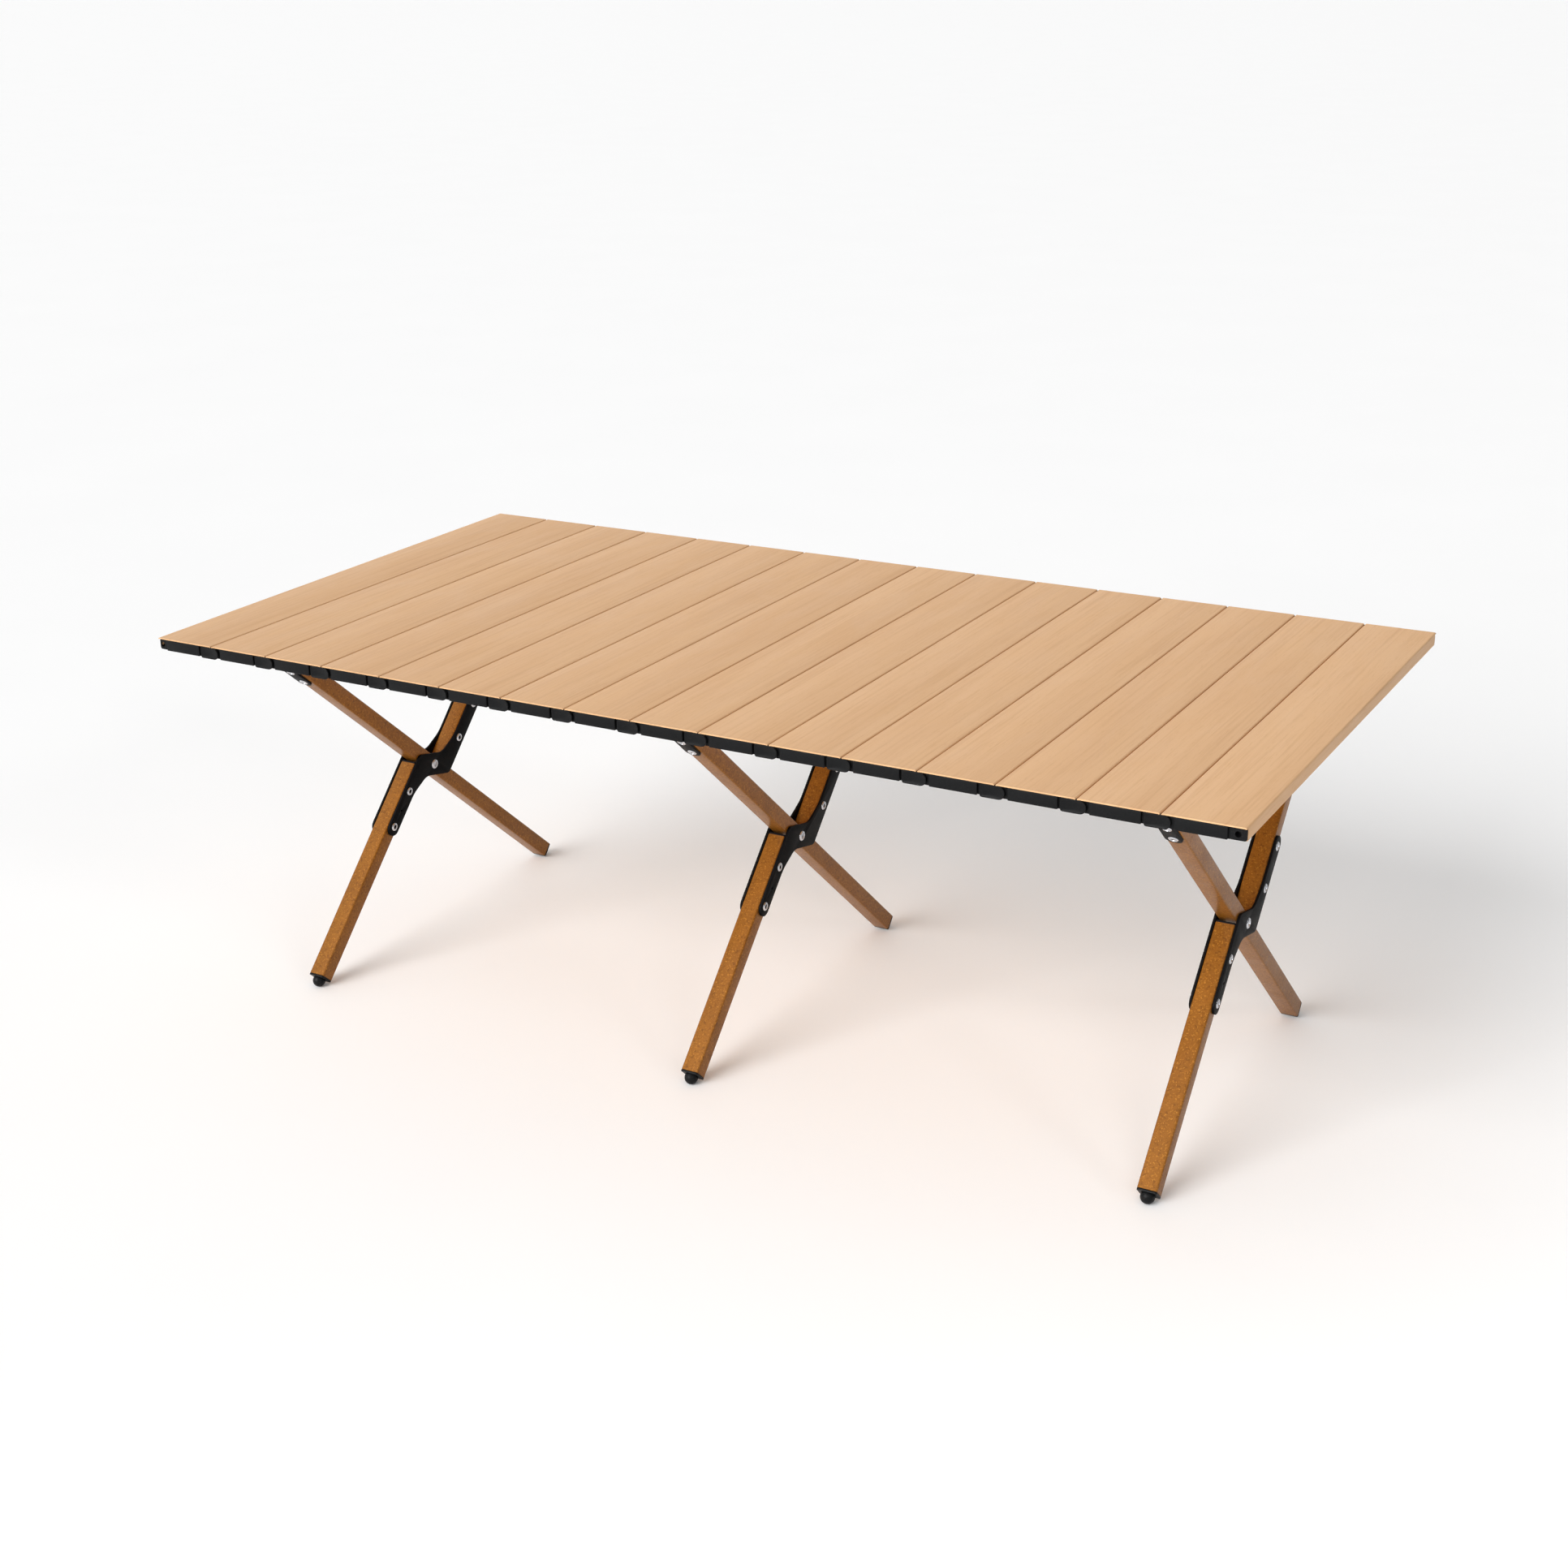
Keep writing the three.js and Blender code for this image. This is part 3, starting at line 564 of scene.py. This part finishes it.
def model_cap():
    """The near end cap: a plug in the hollow, a raised pad, and a lower shelf at each side for a link."""
    half = SLAT_WIDTH / 2
    inset = 0.3 * MM
    top = SLAT_THICKNESS - SLAT_WALL - 0.1 * MM
    low = (-half + inset, -SHELF_FACE, 0.1 * MM)
    high = (half - inset, -SHELF_FACE + 1.5 * MM, top)
    shelf = block("cap", low, high)
    pick(shelf, "EDGE", lambda e: runs_along(shelf, e, 1))
    bpy.ops.mesh.bevel(offset=CAP_CORNER_ROUND, segments=4, affect="EDGES")
    leave()
    pad_low = (-half + LEFT_SHELF + GROOVE, -CAP_FACE, 0)
    pad_high = (half - RIGHT_SHELF - GROOVE, -SHELF_FACE + MM, top)
    pad = block("pad", pad_low, pad_high)
    soften(pad, 0.6 * MM, 3)
    plug_low = (-half + 1.6 * MM, -SHELF_FACE + MM, SLAT_WALL + 0.3 * MM)
    plug_high = (half - 1.6 * MM, -SHELF_FACE + CAP_DEPTH, SLAT_THICKNESS - SLAT_WALL - 0.3 * MM)
    plug = block("plug", plug_low, plug_high)
    use(shelf, "BOOLEAN", operation="UNION", object=pad, solver="EXACT")
    use(shelf, "BOOLEAN", operation="UNION", object=plug, solver="EXACT")
    bpy.data.objects.remove(pad)
    bpy.data.objects.remove(plug)
    for x in (-half + NEXT_HOLE_INSET, half - PIN_HOLE_INSET):
        hole = round_bar("cutter", PIN_HOLE_RADIUS, 12 * MM, "Y")
        hole.location = (x, -SHELF_FACE, LINK_MIDDLE)
        cut(shelf, settle(hole))
    return soften(shelf, 0.12 * MM, 1, 50)


def model_link():
    """The near link about its seam: square end behind, round end ahead, its face sunk inside a rim."""
    low_z = LINK_MIDDLE - LINK_HEIGHT / 2
    low = (-LINK_BEHIND, -LINK_FACE, low_z)
    high = (LINK_AHEAD, -LINK_FACE + LINK_THICKNESS, low_z + LINK_HEIGHT)
    piece = block("link", low, high)
    pick(piece, "EDGE", lambda e: runs_along(piece, e, 1) and ends_of(piece, e)[0].x > 0)
    bpy.ops.mesh.bevel(offset=LINK_HEIGHT / 2 * 0.96, segments=8, affect="EDGES")
    leave()
    pick(piece, "EDGE", lambda e: runs_along(piece, e, 1) and ends_of(piece, e)[0].x < -LINK_BEHIND / 2)
    bpy.ops.mesh.bevel(offset=2 * MM, segments=4, affect="EDGES")
    leave()
    pick(piece, "FACE", lambda face: face.normal.y < -0.9)
    bpy.ops.mesh.inset(thickness=0.9 * MM, depth=0)
    bpy.ops.mesh.inset(thickness=0.5 * MM, depth=-0.35 * MM)
    leave()
    return soften(piece, 0.35 * MM, 3, 40)


def add_top():
    extrusion = model_extrusion()
    near_cap = model_cap()
    far_cap = mirrored(near_cap, "far cap", 1)
    near_link = model_link()
    far_link = mirrored(near_link, "far link", 1)
    for i, name in enumerate(SLAT_NAMES):
        low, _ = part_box(name)
        middle = low.x + SLAT_WIDTH / 2
        shift = (middle, 0, SLAT_UNDERSIDE)
        shell = copy_of(extrusion, name + "_extrusion", shift)
        finish_piece(shell, BEECH_FILM, name, "beech_film", name)
        for side, cap in (("near", near_cap), ("far", far_cap)):
            piece = copy_of(cap, f"{name}_{side}_cap", shift)
            finish_piece(piece, BLACK_PLASTIC, name, "black_plastic")
        if i == len(SLAT_NAMES) - 1:
            continue
        seam = (middle + SLAT_PITCH / 2, 0, SLAT_UNDERSIDE)
        for side, link in (("near", near_link), ("far", far_link)):
            piece = copy_of(link, f"{name}_{side}_link", seam)
            finish_piece(piece, BLACK_PLASTIC, name, "black_plastic")
    for model in (extrusion, near_cap, far_cap, near_link, far_link):
        bpy.data.objects.remove(model)


# Legs. A piece is modelled with Y up the leg from the pivot and Z across it, then turned into its cross.
FOOT_FALL = PIVOT.z - BALL_RADIUS
FOOT_RADIUS = math.hypot(FOOT_SPREAD, FOOT_FALL)
STRAIGHT_ANGLE = math.atan2(FOOT_FALL, FOOT_SPREAD)
CRANKED_ANGLE = STRAIGHT_ANGLE + math.asin(CRANK_OFFSET / FOOT_RADIUS)
CRANKED_FOOT = math.sqrt(FOOT_RADIUS**2 - CRANK_OFFSET**2)
STRAIGHT_TURN = math.pi - STRAIGHT_ANGLE
TOP_CLEARANCE = 2.5 * MM


def leg_top(angle, offset):
    room = SLAT_UNDERSIDE - TOP_CLEARANCE - PIVOT.z
    return (room - (offset + TUBE_DEPTH / 2) * math.cos(angle)) / math.sin(angle)


def in_cross(piece, frame_name, turn):
    piece.location = (FRAME_SPACING * (FRAME_NAMES.index(frame_name) - 1), 0, PIVOT.z)
    piece.rotation_euler = (turn, 0, 0)
    return settle(piece)


def rounded_block(name, width, depth, low_y, high_y, offset, radius):
    low = (-width / 2, low_y, offset - depth / 2)
    high = (width / 2, high_y, offset + depth / 2)
    piece = block(name, low, high)
    pick(piece, "EDGE", lambda e: runs_along(piece, e, 1))
    bpy.ops.mesh.bevel(offset=radius, segments=4, affect="EDGES")
    leave()
    return piece


def model_tube(name, low_y, high_y, offset):
    piece = rounded_block(name, TUBE_WIDTH, TUBE_DEPTH, low_y, high_y, offset, TUBE_ROUND)
    pick(piece, "FACE", lambda face: abs(face.normal.y) > 0.9)
    bpy.ops.mesh.delete(type="FACE")
    leave()
    use(piece, "SOLIDIFY", thickness=TUBE_WALL, offset=-1)
    return soften(piece, 0.2 * MM, 1, 60)


def model_plug(name, face_y, direction, offset):
    """A moulded plug in a tube's end: direction is +1 where its flange faces up the leg."""
    flange = sorted((face_y, face_y + direction * PLUG_FLANGE))
    piece = rounded_block(name, TUBE_WIDTH, TUBE_DEPTH, flange[0], flange[1], offset, TUBE_ROUND)
    pick(piece, "FACE", lambda face: face.normal.y * direction < -0.9)
    bpy.ops.mesh.inset(thickness=TUBE_WALL + RUNNING_GAP, depth=0)
    bpy.ops.mesh.extrude_region_move(TRANSFORM_OT_translate={"value": (0, -direction * PLUG_DEPTH, 0)})
    leave()
    return soften(piece, 0.4 * MM, 2, 40)


def model_foot(name, ball_distance, offset):
    """A flanged plug with a ball under it."""
    face_y = -ball_distance + BALL_NECK + FOOT_FLANGE
    low_y = face_y - FOOT_FLANGE
    piece = rounded_block(name, TUBE_WIDTH, TUBE_DEPTH, low_y, face_y, offset, TUBE_ROUND)
    pick(piece, "FACE", lambda face: face.normal.y > 0.9)
    bpy.ops.mesh.inset(thickness=TUBE_WALL + RUNNING_GAP, depth=0)
    bpy.ops.mesh.extrude_region_move(TRANSFORM_OT_translate={"value": (0, FOOT_PLUG_DEPTH, 0)})
    leave()
    soften(piece, 0.5 * MM, 2, 40)
    bpy.ops.object.select_all(action="DESELECT")
    place = (0, -ball_distance, offset)
    bpy.ops.mesh.primitive_uv_sphere_add(segments=32, ring_count=16, radius=BALL_RADIUS, location=place)
    ball = settle(bpy.context.object)
    pick(ball, "FACE", lambda face: True)
    seam_y = low_y + FOOT_FLANGE / 2
    point = (0, seam_y, offset)
    bpy.ops.mesh.bisect(plane_co=point, plane_no=(0, 1, 0), clear_outer=True, use_fill=True)
    leave()
    use(piece, "BOOLEAN", operation="UNION", object=ball, solver="EXACT")
    bpy.data.objects.remove(ball)
    choose(piece)
    bpy.ops.object.shade_smooth_by_angle(angle=math.radians(35))
    return piece


RIVET_SHANK = 2.5 * MM
RIVET_HEAD = 4.8 * MM
BOLT_SHANK = 4 * MM
BOLT_HEAD = 5.6 * MM

# How a head rises, ring by ring: inward, then out of the face, in fifths of its radius.
DOME = ((0.2, 0.35), (0.45, 0.4), (0.8, 0.3), (0.7, 0.05))
DIMPLE = ((0.25, -0.6), (0.2, -0.8), (0.5, -0.2))


def model_rivet(name, shank, head, low, high, axis):
    """A rivet through two plates, with a domed and dimpled head on each end."""
    index = "XYZ".index(axis)
    spread = [head / shank] * 3
    spread[index] = 1
    piece = round_bar(name, shank, high - low, axis, 28)
    for direction in (-1, 1):
        pick(piece, "FACE", lambda face: face.normal[index] * direction > 0.9)
        bpy.ops.mesh.extrude_region_move(TRANSFORM_OT_translate={"value": (0, 0, 0)})
        bpy.ops.transform.resize(value=spread)
        for inward, rise in DOME + DIMPLE:
            bpy.ops.mesh.inset(thickness=inward * head / 5, depth=rise * head / 5)
        leave()
    piece.location[index] = (high + low) / 2
    settle(piece)
    bpy.ops.object.shade_smooth_by_angle(angle=math.radians(50))
    return piece


def cleaned(node, name):
    """The frame's own shape for a node, with its triangles joined into whole faces."""
    piece = bpy.data.objects.new(name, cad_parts[node].data.copy())
    bpy.context.scene.collection.objects.link(piece)
    choose(piece)
    bpy.ops.mesh.customdata_custom_splitnormals_clear()
    pick(piece, "FACE", lambda face: True)
    bpy.ops.mesh.remove_doubles(threshold=0.01 * MM)
    bpy.ops.mesh.dissolve_limited(angle_limit=math.radians(1))
    leave()
    return piece


def refined(node, name, edge):
    return soften(cleaned(node, name), edge, 2, 25)


def in_leg(point):
    """A point's place in the cranked leg's own lines: Y up the leg from the pivot, Z across it."""
    return Matrix.Rotation(-CRANKED_ANGLE, 3, "X") @ (point - Vector((0, 0, PIVOT.z)))


PLATE_CORNER_ROUND = 3.8 * MM
PLATE_NECK_ROUND = 6 * MM
PLATE_HOLE_RADIUS = 1.5 * MM


def model_crank_plate(node, name, frame_name):
    """The frame's plate with its block's corners and necks rounded and a small hole in its lower arm."""
    piece = cleaned(node, name)

    def corners(low_y, high_y, low_z, high_z):
        def wanted(edge):
            place = in_leg(ends_of(piece, edge)[0])
            across = low_z < abs(place.z) / MM < high_z
            return runs_along(piece, edge, 0) and low_y < abs(place.y) / MM < high_y and across

        return wanted

    pick(piece, "EDGE", corners(1, 8, 30, 34))
    bpy.ops.mesh.bevel(offset=PLATE_CORNER_ROUND, segments=5, affect="EDGES")
    leave()
    pick(piece, "EDGE", corners(15, 23, 3, 7))
    bpy.ops.mesh.bevel(offset=PLATE_NECK_ROUND, segments=5, affect="EDGES")
    leave()
    pick(piece, "EDGE", corners(40, 52, 12, 15))
    bpy.ops.mesh.bevel(offset=PLATE_NECK_ROUND, segments=4, affect="EDGES")
    leave()
    hole = round_bar("cutter", PLATE_HOLE_RADIUS, 30 * MM, "X", 20)
    hole.location = (0, -PLATE_HOLE, CRANK_OFFSET)
    cut(piece, in_cross(settle(hole), frame_name, CRANKED_ANGLE))
    return soften(piece, 0.5 * MM, 2, 25)


def add_leg_pieces(frame_name):
    straight = frame_name + "_straight_leg"
    cranked = frame_name + "_cranked_leg"
    foot_face = BALL_NECK + FOOT_FLANGE + RUNNING_GAP
    inner = HALF_LEG_START
    straight_top = leg_top(STRAIGHT_ANGLE, 0)
    cranked_top = leg_top(CRANKED_ANGLE, -CRANK_OFFSET)
    tubes = (
        ("straight_leg", straight, STRAIGHT_TURN, -FOOT_RADIUS + foot_face, straight_top, 0),
        ("lower_leg", cranked, CRANKED_ANGLE, -CRANKED_FOOT + foot_face, -inner, CRANK_OFFSET),
        ("upper_leg", cranked, CRANKED_ANGLE, inner, cranked_top, -CRANK_OFFSET),
    )
    for name, body, turn, low, high, offset in tubes:
        piece = in_cross(model_tube(f"{frame_name}_{name}_tube", low, high, offset), frame_name, turn)
        finish_piece(piece, GOLDEN_COAT, body, "golden_coat", f"{frame_name}_{name}")
    plugs = (
        ("near_top_plug", straight, STRAIGHT_TURN, straight_top - PLUG_FLANGE, 1, 0),
        ("lower_inner_plug", cranked, CRANKED_ANGLE, -inner, 1, CRANK_OFFSET),
        ("upper_inner_plug", cranked, CRANKED_ANGLE, inner, -1, -CRANK_OFFSET),
        ("far_top_plug", cranked, CRANKED_ANGLE, cranked_top - PLUG_FLANGE, 1, -CRANK_OFFSET),
    )
    for name, body, turn, face_y, direction, offset in plugs:
        piece = model_plug(f"{frame_name}_{name}", face_y, direction, offset)
        finish_piece(in_cross(piece, frame_name, turn), BLACK_PLASTIC, body, "black_plastic")
    feet = (
        ("far_foot", straight, STRAIGHT_TURN, FOOT_RADIUS, 0),
        ("near_foot", cranked, CRANKED_ANGLE, CRANKED_FOOT, CRANK_OFFSET),
    )
    for name, body, turn, distance, offset in feet:
        piece = in_cross(model_foot(f"{frame_name}_{name}_ball", distance, offset), frame_name, turn)
        finish_piece(piece, BLACK_PLASTIC, body, "black_plastic", f"{frame_name}_{name}")


def add_rivets(frame_name):
    straight = frame_name + "_straight_leg"
    cranked = frame_name + "_cranked_leg"
    for distance in PLATE_RIVETS:
        for half, sign in (("lower", -1), ("upper", 1)):
            name = f"{frame_name}_{half}_plate_rivet_{PLATE_RIVETS.index(distance) + 1}"
            piece = model_rivet(name, RIVET_SHANK, RIVET_HEAD, -PLATE_OUTSIDE, PLATE_OUTSIDE, "X")
            piece.location = (0, sign * distance, -sign * CRANK_OFFSET)
            piece = in_cross(settle(piece), frame_name, CRANKED_ANGLE)
            finish_piece(piece, BRIGHT_STEEL, cranked, "bright_steel")
    name = frame_name + "_pivot_rivet"
    bolt = model_rivet(name, BOLT_SHANK, BOLT_HEAD, -PLATE_OUTSIDE, PLATE_OUTSIDE, "X")
    bolt = in_cross(bolt, frame_name, CRANKED_ANGLE)
    finish_piece(bolt, BRIGHT_STEEL, cranked, "bright_steel", frame_name + "_pivot_bolt")
    for number, distance in enumerate(STRAP_RIVETS, 1):
        inside = TUBE_DEPTH / 2 - TUBE_WALL
        name = f"{frame_name}_near_strap_rivet_{number}"
        near = model_rivet(name, RIVET_SHANK, RIVET_HEAD, inside, STRAP_FACE, "Z")
        near.location = (0, distance, 0)
        near = in_cross(settle(near), frame_name, STRAIGHT_TURN)
        finish_piece(near, BRIGHT_STEEL, straight, "bright_steel")
        name = f"{frame_name}_far_strap_rivet_{number}"
        low, high = -CRANK_OFFSET - STRAP_FACE, -CRANK_OFFSET - inside
        far = model_rivet(name, RIVET_SHANK, RIVET_HEAD, low, high, "Z")
        far.location = (0, distance, 0)
        far = in_cross(settle(far), frame_name, CRANKED_ANGLE)
        finish_piece(far, BRIGHT_STEEL, cranked, "bright_steel")


def add_refined():
    for name in FRAME_NAMES:
        for side in ("left", "right"):
            node = f"{name}_{side}_crank_plate"
            piece = model_crank_plate(node, node + "_pressing", name)
            finish_piece(piece, BLACK_STEEL, name + "_cranked_leg", "black_steel", node)
        for side, leg in (("near", "straight"), ("far", "cranked")):
            node = f"{name}_{side}_strap"
            piece = refined(node, node + "_pressing", 0.45 * MM)
            finish_piece(piece, BLACK_STEEL, f"{name}_{leg}_leg", "black_steel", node)
            node = f"{name}_{side}_hub"
            piece = refined(node, node + "_moulding", 0.5 * MM)
            finish_piece(piece, BLACK_PLASTIC, node, "black_plastic", node)
    for side in ("near", "far"):
        for bay in ("left", "right"):
            for part in ("inner", "outer"):
                node = f"{side}_{bay}_{part}_rail"
                piece = refined(node, node + "_bar", 0.7 * MM)
                finish_piece(piece, GOLDEN_COAT, node, "golden_coat", node)


# Studio.
FLOOR_SIZE = 600
FILL_PLACE = Vector((1.25, -1.3, 0.85))
FILL_TARGET = Vector((0.4, 0, 0.3))


def add_floor():
    bpy.ops.object.select_all(action="DESELECT")
    bpy.ops.mesh.primitive_plane_add(size=FLOOR_SIZE)
    floor = bpy.context.object
    floor.name = "studio_floor"
    floor.data.materials.append(make_studio_floor())


def add_sun(name, direction, strength, angle):
    data = bpy.data.lights.new(name, "SUN")
    data.energy = strength
    data.angle = math.radians(angle)
    lamp = bpy.data.objects.new(name, data)
    bpy.context.scene.collection.objects.link(lamp)
    lamp.rotation_euler = Vector(direction).to_track_quat("-Z", "Y").to_euler()


def add_fill():
    """A small soft light by the right end, so that the nearest cross is the brightest."""
    data = bpy.data.lights.new("fill", "AREA")
    data.energy = 4
    data.size = 0.5
    lamp = bpy.data.objects.new("fill", data)
    bpy.context.scene.collection.objects.link(lamp)
    lamp.location = FILL_PLACE
    lamp.rotation_euler = (FILL_TARGET - FILL_PLACE).to_track_quat("-Z", "Y").to_euler()
    lamp.visible_camera = False


def add_world():
    """White light, strongest on the left and weakest on the right, that is seen as plain white."""
    world = bpy.data.worlds.new("studio")
    bpy.context.scene.world = world
    world.use_nodes = True
    tree = world.node_tree
    place = node_in(tree, "ShaderNodeTexCoord").outputs["Generated"]
    across = node_in(tree, "ShaderNodeSeparateXYZ", {"Vector": place}).outputs["X"]
    strength = between(tree, across, -0.6, 0.9, 0.88, 0.1)
    seen = node_in(tree, "ShaderNodeLightPath").outputs["Is Camera Ray"]
    shown = sums(tree, "MAXIMUM", strength, seen)
    tree.links.new(shown, tree.nodes["Background"].inputs["Strength"])
    tree.nodes["Background"].inputs["Color"].default_value = (1, 1, 1, 1)


def add_studio():
    add_floor()
    add_sun("key", (0.3, 0.85, -0.48), 2.85, 40)
    add_sun("rim", (-0.85, 0.21, -0.46), 0.2, 10)
    add_fill()
    add_world()
    bpy.context.scene.view_settings.view_transform = "Standard"


add_camera()
add_top()
for frame_name in FRAME_NAMES:
    add_leg_pieces(frame_name)
    add_rivets(frame_name)
add_refined()
add_studio()
